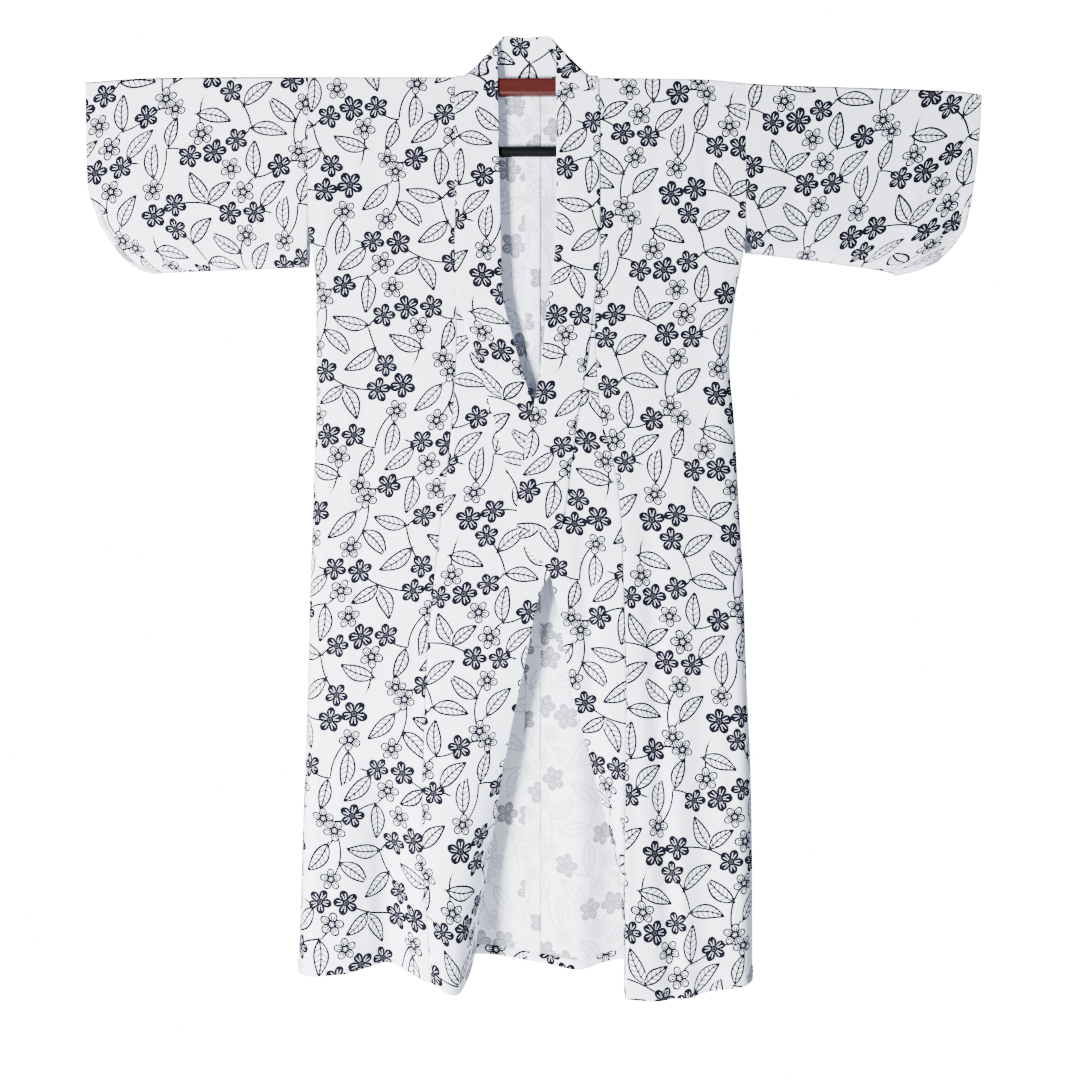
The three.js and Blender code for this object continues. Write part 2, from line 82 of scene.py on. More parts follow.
# troughs pressed into the cloth: x above and below, drop from and to, width and depth
# a negative depth is a ridge
lapFold = (74, 106, 520, 1080, 15, 9)
rightFolds = [
    lapFold, (-205, -206, 960, 1330, 36, 34), (-236, -250, 300, 900, 14, 4), (-275, -262, 30, 300, 13, 4),
    (-228, -212, 18, 270, 11, 2.6), (-300, -296, 60, 380, 9, -2.2), (-178, -186, 140, 620, 16, 2.2),
    (-262, -256, 520, 1010, 10, -2.4), (-160, -172, 700, 1250, 13, 2.8), (-292, -288, 840, 1290, 12, 3.2),
    (-130, -118, 40, 260, 9, -1.6), (-184, -176, 380, 820, 8, -1.6), (-232, -226, 1080, 1330, 12, -4.5),
]
leftFolds = [
    (165, 214, 420, 1330, 17, 11), lapFold, (250, 262, 700, 1330, 24, 8),
    (196, 178, 24, 300, 13, 2.8), (262, 268, 20, 230, 10, 3.0), (286, 280, 180, 640, 11, -2.6),
    (138, 142, 60, 330, 9, 1.8), (226, 232, 300, 700, 12, -2.4), (196, 232, 820, 1330, 11, -4.6),
    (292, 300, 560, 1200, 10, 2.6), (150, 158, 760, 1290, 8, 2.0),
]
backFolds = [
    (12, 10, -500, 800, 24, 8),
    (72, 76, 700, 1330, 30, 22), (-70, -64, 900, 1330, 48, -12), (-215, -220, 700, 1330, 40, 12),
    (232, 240, 800, 1330, 44, 11), (-150, -138, 60, 520, 14, 2.6), (160, 172, 40, 460, 12, 2.8),
    (-262, -256, 120, 700, 12, 3.0), (268, 262, 160, 820, 13, 2.6), (40, 36, 180, 760, 11, -2.0),
    (-36, -44, 420, 1100, 12, 2.4), (118, 124, 620, 1290, 13, -3.2), (-118, -110, 760, 1330, 12, 3.6),
    (196, 204, 900, 1330, 12, -3.6), (-290, -294, 700, 1330, 11, -3.0),
]

# how low the hem hangs: by 0 at the side, 1 at the okumi's seam and 2 at the free edge, or by x behind
rightHem = [(0, 1314), (0.35, 1310), (0.65, 1302), (1, 1322), (1.5, 1340), (1.8, 1322), (2, 1298)]
leftHem = [(0, 1324), (0.3, 1334), (0.7, 1347), (1, 1343), (1.2, 1336), (2, 1300)]
backHem = [(-335, 1314), (-77, 1310), (75, 1324), (142, 1315), (335, 1324)]

# the top fold's line out from the body
rightTop = [(0, 0), (430, 0), (560, -1.8), (650, -8)]
leftTop = [(0, 0), (250, -3), (345, -10.5), (640, -21.5), (670, -26)]

# the okumi's point and the collar's end are drops
rightHalf = {
    "sign": -1, "lines": rightLines, "folds": rightFolds, "hem": rightHem, "top": rightTop,
    "point": 315, "end": 675,
}
leftHalf = {
    "sign": 1, "lines": leftLines, "folds": leftFolds, "hem": leftHem, "top": leftTop,
    "point": 325, "end": 667,
}


def follow(table, at, column=1):
    # a smooth curve through a table's rows that never swings past them
    keys = np.array([row[0] for row in table], float)
    values = np.array([row[column] for row in table], float)
    steps = np.diff(keys)
    rises = np.diff(values) / steps
    slopes = np.zeros_like(values)
    product = rises[:-1] * rises[1:]
    slopes[1:-1] = np.where(product > 0, 2 * product / (rises[:-1] + rises[1:] + 1e-12), 0)
    slopes[0], slopes[-1] = rises[0], rises[-1]
    at = np.clip(at, keys[0], keys[-1])
    i = np.clip(np.searchsorted(keys, at, side="right") - 1, 0, len(keys) - 2)
    t = (at - keys[i]) / steps[i]
    a, b = values[i], values[i + 1]
    curve = a + (b - a) * t * t * (3 - 2 * t)
    return curve + steps[i] * t * (1 - t) * (slopes[i] * (1 - t) - slopes[i + 1] * t)


def mix(a, b, share):
    return a + (b - a) * share


def ease(value, low, high):
    t = np.clip((value - low) / (high - low), 0, 1)
    return t * t * (3 - 2 * t)


def line(half, name, drop):
    return follow(half["lines"], drop, 1 + lineNames.index(name))


# a fold fades in over its first part and out over its last, unless it runs down to the hem
foldFade = {"in": 0.6, "out": 0.7, "hem": 1300}


def foldDepth(folds, x, drop):
    depth = np.zeros(np.broadcast(x, drop).shape)
    for xTop, xEnd, top, end, width, deep in folds:
        middle = mix(xTop, xEnd, np.clip((drop - top) / (end - top), 0, 1))
        begins = ease(drop, top, mix(top, end, foldFade["in"]))
        ends = 1 if end > foldFade["hem"] else 1 - ease(drop, mix(top, end, foldFade["out"]), end)
        depth = depth + deep * begins * ends * np.exp(-(((x - middle) / width) ** 2))
    return depth


def liftAt(half, drop):
    return lapLift["lift"] * ease(drop, lapLift["from"], lapLift["to"]) * (half["sign"] > 0)


def ripple(x, drop, seed):
    # broad, slow unevenness that all hanging cotton has
    a = np.sin(x / 31 + drop / 170 + seed) * np.sin(drop / 120 - x / 90 + 2 * seed)
    b = np.sin(x / 13 - drop / 260 + 3 * seed) * np.sin(drop / 75 + seed)
    return 0.55 * a + 0.22 * b


def looseness(x, drop, seed):
    # none of it where the cloth lies on the bar
    return ease(drop, 10, 120) * ripple(x, drop, seed)


def frontDepth(half, x, drop):
    side, seam = line(half, "side", drop), line(half, "seam", drop)
    share = ease((x - side) / (seam - side), lapLift["side"], lapLift["seam"])
    stand = follow(hang, drop, 1) + liftAt(half, drop) * share
    return stand - foldDepth(half["folds"], x, drop) + looseness(x, drop, half["sign"])


def reachHem(drop, hemDrop):
    free, full = hemRule["freeFrom"], hemRule["full"]
    return np.where(drop < free, drop, mix(free, hemDrop, (drop - free) / (full - free)))


def slopeAt(half, x, drop):
    return follow(half["top"], np.abs(x)) * (1 - ease(drop, 60, 400))


def roundTheSide(columns, count, side, inner, drop):
    # the cloth's own curl at its side: x, and the share of its depth that is left
    away = np.sign(inner - side)
    curl = sideCurl["columns"]
    turn = np.clip(columns / curl, 0, 1) * math.pi / 2
    share = mix(1, np.sin(turn), ease(drop, sideCurl["from"], sideCurl["to"]))
    edge = side + away * sideCurl["width"] * (1 - np.cos(turn))
    flat = mix(side + away * sideCurl["width"], inner, (columns - curl) / (count - curl))
    return np.where(columns <= curl, edge, flat), share


def overTheBar(way, sign):
    # the wall's outer face on the bar, way mm from the middle of its top
    turn = np.clip((way - bar["flat"]) / bar["round"], 0, math.pi / 2)
    y = np.minimum(way, bar["flat"]) + bar["round"] * np.sin(turn)
    return sign * np.maximum(y, sewing["gap"]), bar["round"] * np.cos(turn) - bar["corner"]


overWay = bar["flat"] + bar["round"] * math.pi / 2
hemWay = overWay - bar["corner"] + hemRule["full"]


def turnSteps(turned):
    # ways round a turned edge and along the strip behind it
    arc = math.pi * turned["radius"]
    return np.concatenate([arc * np.array(turned["arc"]), arc + turned["width"] * np.array(turned["strip"])])


def clothRows(count, start=0):
    # ways down the cloth: close together on the bar and where the hem turns up
    over = np.linspace(0, overWay, bar["steps"] + 1)[:-1] if start == 0 else np.array([])
    down = overWay - bar["corner"] + np.linspace(max(start, bar["corner"]), hemRule["full"], count)
    return np.concatenate([over, down, down[-1] + turnSteps(hemTurn)])


def dropAt(way):
    return np.clip(way - overWay + bar["corner"], 0, hemRule["full"])


def turnUp(way, full, turned):
    # past the edge the cloth turns round and goes back: how far beyond, and how far to the inside
    past = np.maximum(way - full, 0)
    turn = np.clip(past / turned["radius"], 0, math.pi)
    beyond = turned["radius"] * np.sin(turn) - np.maximum(past - math.pi * turned["radius"], 0)
    return beyond, turned["radius"] * (1 - np.cos(turn))


def seamDip(near, drop):
    # the cloth dips a little into a sewn seam, but not where it lies against the bar
    dip = sewing["dip"] * np.exp(-((near / sewing["width"]) ** 2))
    return dip * ease(drop, sewing["from"], sewing["to"])


frontPanel = {"columns": 76, "rows": 300}


def frontPlaces(half):
    count = frontPanel["columns"]
    columns, way = np.meshgrid(np.arange(count + 1, dtype=float), clothRows(frontPanel["rows"]))
    drop = dropAt(way)
    inner = np.where(drop < half["point"], line(half, "band", drop), line(half, "seam", drop))
    inner = inner + half["sign"] * sewing["gap"]
    x, share = roundTheSide(columns, count, line(half, "side", drop), inner, drop)
    beyond, inside = turnUp(way, hemWay, hemTurn)
    depth = frontDepth(half, x, drop) - seamDip(x - inner, drop)
    depth = np.maximum(depth * share, sideCurl["clear"])
    hemDrop = follow(half["hem"], columns / count)
    onY, onZ = overTheBar(way, -1)
    over = way < overWay
    y = np.where(over, onY, -depth + inside * share)
    z = np.where(over, onZ + slopeAt(half, x, 0), slopeAt(half, x, drop) - reachHem(drop, hemDrop) - beyond)
    return np.stack([x, y, z], -1)


# the back's folds fade in below the rod, and behind the neck its top edge leans on the bar
backPanel = {"columns": 64, "rows": 210, "from": 118, "to": 210, "seed": 2.4, "top": 0.4, "lean": 3.3}


def backDepth(x, drop):
    pull = foldDepth(backFolds, x, drop) * ease(drop, backPanel["from"], backPanel["to"])
    return follow(hang, drop, 2) - pull + looseness(x, drop, backPanel["seed"])


def backPlaces(half):
    count = backPanel["columns"]
    columns, way = np.meshgrid(np.arange(count + 1, dtype=float), clothRows(backPanel["rows"]))
    drop = dropAt(way)
    x, share = roundTheSide(columns, count, line(half, "side", drop), half["sign"] * sewing["gap"], drop)
    beyond, inside = turnUp(way, hemWay, hemTurn)
    depth = backDepth(x, drop) - seamDip(x, drop)
    depth = np.maximum(depth * share, sideCurl["clear"])
    onY, onZ = overTheBar(way, 1)
    over, behindNeck = way < overWay, np.abs(x) < neckHalf - 3
    y = np.where(over, np.where(behindNeck, bar["back"], onY), depth - inside * share)
    hung = slopeAt(half, x, drop) - reachHem(drop, follow(backHem, x)) - beyond
    edge = -backPanel["top"] - backPanel["lean"] * way / overWay
    onTop = np.where(behindNeck, edge, onZ + slopeAt(half, x, 0))
    return np.stack([x, y, np.where(over, onTop, hung)], -1)


# under the collar the okumi's cloth ends just past the seam
okumiPanel = {"columns": 43, "rows": 230, "below": 3, "under": 12, "tuck": 0.97}


def okumiPlaces(half):
    ways = clothRows(okumiPanel["rows"], half["point"] + okumiPanel["below"])
    turned = turnSteps(edgeTurn)
    shares = np.concatenate([np.linspace(0, 1, okumiPanel["columns"]), np.ones(len(turned))])
    share, way = np.meshgrid(shares, ways)
    past = np.broadcast_to(np.concatenate([np.zeros(okumiPanel["columns"]), turned]), share.shape)
    drop = dropAt(way)
    at = {name: line(half, name, drop) for name in lineNames}
    depth = frontDepth(half, at["seam"], drop)
    seamX = at["seam"] - half["sign"] * sewing["gap"]
    ridge = np.minimum(at["ridge"], np.abs(at["edge"] - seamX) / 2 + at["out"])
    ridgeX = seamX - half["sign"] * ridge
    endY = at["back"] - follow(hang, drop, 1) - liftAt(half, drop)
    a, b, c = (1 - share) ** 2, 2 * share * (1 - share), share ** 2
    x = a * seamX + b * ridgeX + c * at["edge"]
    pastBand = np.maximum((at["band"] - x) * half["sign"], 0) * (drop < half["end"] - okumiPanel["under"])
    x = x + half["sign"] * okumiPanel["tuck"] * pastBand
    y = a * -depth + b * -(depth + at["out"]) + c * endY
    pull = foldDepth(half["folds"], x, drop) - foldDepth(half["folds"], at["seam"], drop) * (1 - share)
    y = y + pull - ripple(x, drop, half["sign"]) * 4 * share * (1 - share)
    y = y + seamDip(x - seamX, drop)
    beyond, inside = turnUp(way, hemWay, hemTurn)
    sideways, behind = turnUp(past, 0, edgeTurn)
    x = x - half["sign"] * sideways
    z = -reachHem(drop, follow(half["hem"], 1 + share)) - beyond
    return np.stack([x, y + inside + behind, z], -1)


rightSleeve = {
    "sign": -1, "top": rightTop, "bottomIn": 279, "bottomOut": 288, "slit": 1,
    "reach": [(0, 650), (150, 647), (201, 636), (253, 606), (279, 580), (288, 556)],
    "folds": [
        (40, 62, 60, 330, 15, 2.6), (120, 96, 120, 330, 12, -2.0), (210, 222, 30, 250, 16, 2.4),
        (262, 250, 110, 300, 12, 2.2),
    ],
}
leftSleeve = {
    "sign": 1, "top": leftTop, "bottomIn": 258, "bottomOut": 291, "slit": 10,
    "reach": [
        (0, 670), (75, 666), (179, 654), (211, 649), (238, 634), (265, 611), (282, 582), (291, 548),
    ],
    "folds": [
        (46, 70, 40, 300, 14, 2.4), (150, 128, 100, 330, 13, 2.2), (228, 236, 40, 300, 15, -2.2),
        (300, 280, 90, 330, 13, 2.6),
    ],
}
sleeveTube = {
    "rows": 78, "hanging": 84, "over": 7, "first": 0.014, "inner": 322.4, "mouth": 175, "fade": 25,
    "closing": 0.9, "round": 0.86, "least": 1.4, "slit": (205, 262), "apart": 14, "out": 9.8,
}


def sleevePlaces(sleeve):
    # columns go round the sleeve: up its front, over the bar and down its back
    tube = sleeveTube
    drops = np.linspace(1, tube["first"], tube["hanging"])
    overs = np.linspace(1, 0, tube["over"] + 1)[:-1]
    shares = np.concatenate([drops, np.zeros(2 * tube["over"]), drops[::-1]])
    free = np.full(tube["hanging"], overWay)
    ways = np.concatenate([free, overs * overWay, overs[::-1] * overWay, free])
    sides = np.repeat([-1.0, 1.0], tube["hanging"] + tube["over"])
    turned = turnSteps(wristTurn)
    outs = np.concatenate([np.linspace(0, 1, tube["rows"]), np.ones(len(turned))])
    share, out = np.meshgrid(shares, outs)
    way, side = np.broadcast_to(ways, share.shape), np.broadcast_to(sides, share.shape)
    past = np.broadcast_to(np.concatenate([np.zeros(tube["rows"]), turned])[:, None], share.shape)
    on = way < overWay - 1e-6
    drop = share * mix(sleeve["bottomIn"], sleeve["bottomOut"], out)
    inner = tube["inner"] + sleeve["slit"] * ease(drop, *tube["slit"]) * (side < 0)
    x = mix(inner, follow(sleeve["reach"], np.where(on, 0, drop)), out)
    atBody = np.where(side < 0, follow(hang, drop, 1), follow(hang, drop, 2))
    loose = mix(atBody, tube["out"], ease(out, 0, 0.2))
    below = np.maximum(share - tube["closing"], 0) / (1 - tube["closing"])
    sewn = ease(out, tube["round"], 1) * ease(drop, tube["mouth"], tube["mouth"] + tube["fade"])
    folds = foldDepth(sleeve["folds"], (x - tube["inner"]) + side * tube["apart"], drop)
    wave = ripple(x, drop, sleeve["sign"] + side) * ease(drop, 8, 60) * (1 - sewn)
    depth = (loose - folds * (1 - sewn) * (1 - below) + wave) * (1 - sewn)
    depth = np.maximum(depth * np.sqrt(np.maximum(1 - below ** 2, 0)), tube["least"])
    beyond, inside = turnUp(past, 0, wristTurn)
    inside = inside * (1 - sewn) * (share < 0.97)
    top = follow(sleeve["top"], x)
    onY, onZ = overTheBar(way, side)
    y = np.where(on, onY, side * (depth - inside))
    z = np.where(on, onZ + top - inside, top * (1 - share) - drop)
    return np.stack([sleeve["sign"] * (x + beyond), y, z], -1)


# the collar's folded strip: its turn round the neck is wider at the seam than at the free edge
collarBand = {
    "width": 60, "thick": 2.2, "wrap": 12, "wrapFree": 4, "start": 25, "rise": 1.4, "stand": 1.2,
    "behind": 0.6, "hug": 0.35, "sag": 4, "lap": 1.6, "over": 6, "crown": 0.7, "clear": 0.6, "top": 1.4,
    "columns": 22, "frontRows": 200, "neckRows": 70, "frontTop": 32, "edge": (30, 60, 90, 120, 150),
}


def collarFront(half, drop, share):
    x = mix(line(half, "band", drop) + half["sign"] * collarBand["lap"], line(half, "edge", drop), share)
    stand = follow(hang, drop, 1) + liftAt(half, drop) + collarBand["stand"]
    crown = collarBand["crown"] * np.sqrt(np.clip(4 * share * (1 - share), 0, 1))
    crown = crown + 0.5 * ripple(x * 2, drop, half["sign"] + 5)
    return np.stack([x, foldDepth(half["folds"], x, drop) - stand - crown, -drop], -1)


def coverHeight(y):
    # how high the strip has to be to clear the bar's rounded top
    reach = bar["corner"] + collarBand["clear"] + collarBand["thick"] + collarBand["top"]
    past = np.maximum(np.abs(y) - bar["flat"], 0)
    return np.where(past < reach, np.sqrt(np.maximum(reach ** 2 - past ** 2, 0)) - bar["corner"], -1e3)


def collarNeck(half, along, share):
    size = collarBand
    width, radius = share * size["width"], mix(size["wrap"], size["wrapFree"], share)
    foot = size["rise"] - math.pi * size["wrap"] / math.sqrt(2)
    across = (along * (neckHalf + math.pi * radius / math.sqrt(2)) - width) / math.sqrt(2)
    turn = np.clip(across / radius, 0, math.pi)
    gone = np.maximum(across - math.pi * radius, 0) * math.sqrt(2)
    x = neckHalf - width - radius * (turn - np.sin(turn)) / math.sqrt(2) - gone
    x = x + size["lap"] * (1 - share) * ease(turn, 2, 0)
    before = np.minimum(across, 0) * math.sqrt(2)
    risen = (size["wrap"] * turn + radius * np.sin(turn)) / math.sqrt(2)
    lifted = max(-foot - size["start"], 0) - share * size["sag"] * ease(gone, 0, neckHalf / 2)
    z = foot + width + before + risen + lifted
    y = radius * (1 - np.cos(turn)) - size["wrap"] - size["behind"]
    y = y + 2 * size["behind"] * ease(turn, 0, math.pi)
    z = z - size["over"] * (1 - share) ** 2 * ease(turn, 2.2, math.pi)
    toSeam = size["hug"] * (1 - share) ** 2 * ease(turn, math.pi / 2, math.pi)
    x = half["sign"] * np.maximum(x * (1 + toSeam), 0)
    return np.stack([x, y, np.maximum(z, coverHeight(y))], -1)


def collarPlaces():
    size = collarBand
    shares = np.linspace(0, 1, size["columns"])
    up, share = np.meshgrid(np.linspace(rightHalf["end"], size["frontTop"], size["frontRows"]), shares,
                            indexing="ij")
    alongs, shareNeck = np.meshgrid(np.linspace(0, 1, size["neckRows"]), shares, indexing="ij")
    down = np.meshgrid(np.linspace(size["frontTop"], leftHalf["end"], size["frontRows"]), shares,
                       indexing="ij")[0]
    face = np.concatenate([
        collarFront(rightHalf, up, share),
        collarNeck(rightHalf, alongs, shareNeck),
        collarNeck(leftHalf, alongs[::-1][1:], shareNeck[1:]),
        collarFront(leftHalf, down, share),
    ])
    for _ in range(2):
        face[1:-1] = (face[:-2] + 2 * face[1:-1] + face[2:]) / 4
    across = np.gradient(face, axis=1)
    normal = np.cross(across, np.gradient(face, axis=0))
    normal = normal / np.maximum(np.linalg.norm(normal, axis=-1, keepdims=True), 1e-9)
    edge = across[:, -1] / np.linalg.norm(across[:, -1], axis=-1, keepdims=True)
    half = size["thick"] / 2
    turned = []
    for angle in np.radians(size["edge"]):
        back, beyond = half * (1 - math.cos(angle)), half * math.sin(angle)
        turned.append(face[:, -1] - normal[:, -1] * back + edge * beyond)
    inner = (face - normal * size["thick"])[:, ::-1]
    return np.concatenate([face, np.stack(turned, 1), inner], axis=1)


# the centre back's seam allowance, pressed to one side on the inside
allowanceStrip = {
    "top": 14, "bottom": 1322, "from": -3, "to": 20, "short": 4, "inside": 0.9, "loose": 0.5,
    "wall": 0.8, "rows": 260, "columns": 9,
}


def allowancePlaces():
    strip = allowanceStrip
    drops = np.linspace(strip["top"], strip["bottom"], strip["rows"])
    acrosses = np.linspace(strip["from"], strip["to"], strip["columns"])
    drop, across = np.meshgrid(drops, acrosses, indexing="ij")
    depth = backDepth(across, drop) - wall - strip["inside"] - strip["loose"] * np.sin(drop / 47) ** 2
    return np.stack([across, depth, -reachHem(drop, follow(backHem, across) - strip["short"])], -1)


def cutSizes(places):
    # each place's coordinates on the flat cloth, in metres, along the rows and down the columns
    across = np.linalg.norm(np.diff(places, axis=1), axis=-1)
    down = np.linalg.norm(np.diff(places, axis=0), axis=-1)
    u = np.concatenate([np.zeros((len(places), 1)), np.cumsum(across, axis=1)], axis=1)
    v = np.concatenate([[0], np.cumsum(np.median(down, axis=1))])
    return u * mm, np.repeat(v[:, None], places.shape[1], axis=1) * mm


def sheetObject(name, places, materials, thickness, fromRight=False):
    # a flat grid of cloth, moved to its places, with its wall inside
    rows, columns = places.shape[0] - 1, places.shape[1] - 1
    work = bmesh.new()
    bmesh.ops.create_grid(work, x_segments=columns, y_segments=rows, size=0.5)
    mesh = bpy.data.meshes.new(name)
    work.to_mesh(mesh)
    work.free()
    flat = np.empty(len(mesh.vertices) * 3)
    mesh.vertices.foreach_get("co", flat)
    flat = flat.reshape(-1, 3)
    i = np.rint((flat[:, 1] + 0.5) * rows).astype(int)
    j = np.rint((flat[:, 0] + 0.5) * columns).astype(int)
    mesh.vertices.foreach_set("co", (places[i, j] * mm).ravel())
    u, v = cutSizes(places)
    if fromRight:
        u = u - u[:, -1:]
    corners = np.empty(len(mesh.loops), dtype=np.int32)
    mesh.loops.foreach_get("vertex_index", corners)
    pairs = np.stack([u[i[corners], j[corners]], v[i[corners], j[corners]]], 1)
    mesh.uv_layers.new(name="cut").uv.foreach_set("vector", pairs.ravel())
    piece = bpy.data.objects.new(name, mesh)
    bpy.context.collection.objects.link(piece)
    for material in materials:
        mesh.materials.append(material)
    mesh.shade_smooth()
    solid = piece.modifiers.new("wall", "SOLIDIFY")
    solid.thickness = thickness * mm
    solid.offset = -1
    solid.material_offset = 1
    solid.use_quality_normals = True
    return piece


class Wire:
    # a socket whose arithmetic adds nodes to its own tree; without a socket it only adds nodes
    def __init__(self, tree, socket=None):
        self.tree = tree
        self.socket = socket

    def fill(self, made, values):
        for key, value in values.items():
            if isinstance(value, Wire):
                self.tree.links.new(value.socket, made.inputs[key])
            else:
                made.inputs[key].default_value = value

    def node(self, kind, settings, values, output=0):
        made = self.tree.nodes.new(kind)
        for name, value in settings.items():
            setattr(made, name, value)
        self.fill(made, values)
        return Wire(self.tree, made.outputs[output] if made.outputs else None)

    def also(self, output):
        # another output of the same node
        return Wire(self.tree, self.socket.node.outputs[output])

    def math(self, operation, *values):
        return self.node("ShaderNodeMath", {"operation": operation}, dict(enumerate(values)))

    def vector(self, operation, *values, output=0):
        return self.node("ShaderNodeVectorMath", {"operation": operation}, dict(enumerate(values)), output)

    def noise(self, scale, detail, output=0, roughness=0.5):
        values = {"Vector": self, "Scale": scale, "Detail": detail, "Roughness": roughness}
        return self.node("ShaderNodeTexNoise", {}, values, output)

    def stretched(self, scale):
        return self.node("ShaderNodeMapping", {}, {"Vector": self, "Scale": scale})

    def bump(self, strength, distance):
        return self.node("ShaderNodeBump", {}, {"Strength": strength, "Distance": distance, "Height": self})

    def between(self, kind, first, second):
        # this socket is the second one's share
        socket, output = {"VECTOR": (4, 1), "RGBA": (6, 2)}[kind]
        values = {0: self, socket: first, socket + 1: second}
        return self.node("ShaderNodeMix", {"data_type": kind}, values, output)

    def parts(self):
        x = self.node("ShaderNodeSeparateXYZ", {}, {0: self})
        return x, x.also(1), x.also(2)

    def length(self):
        return self.vector("LENGTH", self, output=1)

    def wrapped(self, reach):
        return self.math("WRAP", self, reach, -reach)

    def size(self):
        return self.math("ABSOLUTE", self)

    def above(self, value):
        return self.math("GREATER_THAN", self, value)

    def below(self, value):
        return self.math("LESS_THAN", self, value)

    def within(self, low, high):
        return self.above(low) * self.below(high)

    def near(self, value, reach):
        return self.math("COMPARE", self, value, reach)

    def most(self, other):
        return self.math("MAXIMUM", self, other)

    def least(self, other):
        return self.math("MINIMUM", self, other)

    def __add__(self, other):
        return self.math("ADD", self, other)

    def __radd__(self, other):
        return self.math("ADD", other, self)

    def __sub__(self, other):
        return self.math("SUBTRACT", self, other)

    def __rsub__(self, other):
        return self.math("SUBTRACT", other, self)

    def __mul__(self, other):
        return self.math("MULTIPLY", self, other)

    def __rmul__(self, other):
        return self.math("MULTIPLY", other, self)

    def __truediv__(self, other):
        return self.math("DIVIDE", self, other)

    def __rtruediv__(self, other):
        return self.math("DIVIDE", other, self)


# The print's repeat is a square tile in millimetres, turned so that its rows run across the weave.
tile = {"size": 216, "turn": 26.565, "wander": 7, "scale": 0.012}
# flowers: x, y, radius, turn in degrees, and 1 for a solid one
flowers = [
    (36, 44, 20, 10, 1), (63, 69, 19, 50, 1), (73, 33, 18, 75, 1), (23, 80, 17, 20, 0),
    (146, 84, 19, 33, 1), (181, 99, 18, 5, 1), (153, 121, 18, 62, 0), (179, 63, 17, 44, 0),
    (57, 141, 18, 28, 1), (88, 160, 20, 24, 1), (112, 188, 18, 58, 1), (58, 177, 18, 0, 0),
    (121, 146, 17, 40, 0), (186, 177, 19, 66, 1), (202, 208, 17, 12, 0), (6, 199, 16, 50, 0),
]
# a petal's round, as shares of the flower's radius, and its two veins' slant
petal = {"count": 5, "middle": 0.57, "long": 0.43, "wide": 0.36, "fan": 0.2, "from": 0.28, "to": 0.7}
# leaves: x, y, the way the tip points, and 1 for a smaller one
leaves = [
    (109, 45, 65, 0), (152, 38, 165, 0), (208, 42, 75, 0), (88, 103, 145, 0), (118, 108, 65, 1),
    (5, 120, 112, 0), (17, 166, 100, 1), (65, 207, 8, 0), (150, 4, 15, 0), (147, 172, 115, 0),
    (193, 137, 70, 0),
]
leafShape = {
    "half": 27, "width": 10, "bend": 0.0045, "shift": 1.2, "taper": 0.22, "small": 0.84, "vein": 8,
    "slant": 0.85, "short": 0.82, "from": -0.86, "to": 0.78,
}
# stems: from a place to a place, and how far the middle bows out
stems = [
    (72, 33, 124, -3, 5), (124, -3, 112, -29, 3), (178, 64, 201, -9, -10), (201, -9, 201, 15, 2),
    (62, 68, 146, 84, 9), (57, 141, 20, 140, -5), (20, 140, 24, 79, 7), (59, 176, 36, 260, 9),
    (153, 120, 159, 147, 2), (159, 147, 186, 177, -4), (181, 99, 205, 109, 3), (186, 177, 222, 199, 5),
]
# half the width of each kind of line
ink = {
    "edge": 1.5, "vein": 0.95, "rib": 1.2, "stem": 1.4, "rim": 0.18, "vees": 1.0, "solidVein": 0.34,
    "solidLight": 0.06, "ringLight": 0.06, "gap": 0.04,
}


def arcOf(x0, y0, x1, y1, bow):
    # the circle through both ends: middle, radius, heading, and the cosine of half the arc's spread
    chord = math.hypot(x1 - x0, y1 - y0)
    radius = (chord * chord / 4 + bow * bow) / (2 * abs(bow))
    side = math.copysign(1, bow)
    heading = math.atan2((x1 - x0) * side, (y0 - y1) * side)
    away = radius - abs(bow)
    middle = ((x0 + x1) / 2 - away * math.cos(heading), (y0 + y1) / 2 - away * math.sin(heading))
    return middle, radius, heading, away / radius


def wrappedPlace(place, x, y, packed=0):
    # the place measured from x, y in the nearest repeat, with a number packed in z
    half = tile["size"] / 2
    moved = place.vector("SUBTRACT", place, (x, y, -packed))
    return moved.vector("WRAP", moved, (half, half, 1000), (-half, -half, -1000))


def nearest(place, centres):
    # the place measured from the nearest centre, with what that centre packs in z
    best = wrappedPlace(place, *centres[0])
    distance = best.length()
    for centre in centres[1:]:
        here = wrappedPlace(place, *centre)
        away = here.length()
        best = away.below(distance).between("VECTOR", best, here)
        distance = distance.least(away)
    return best


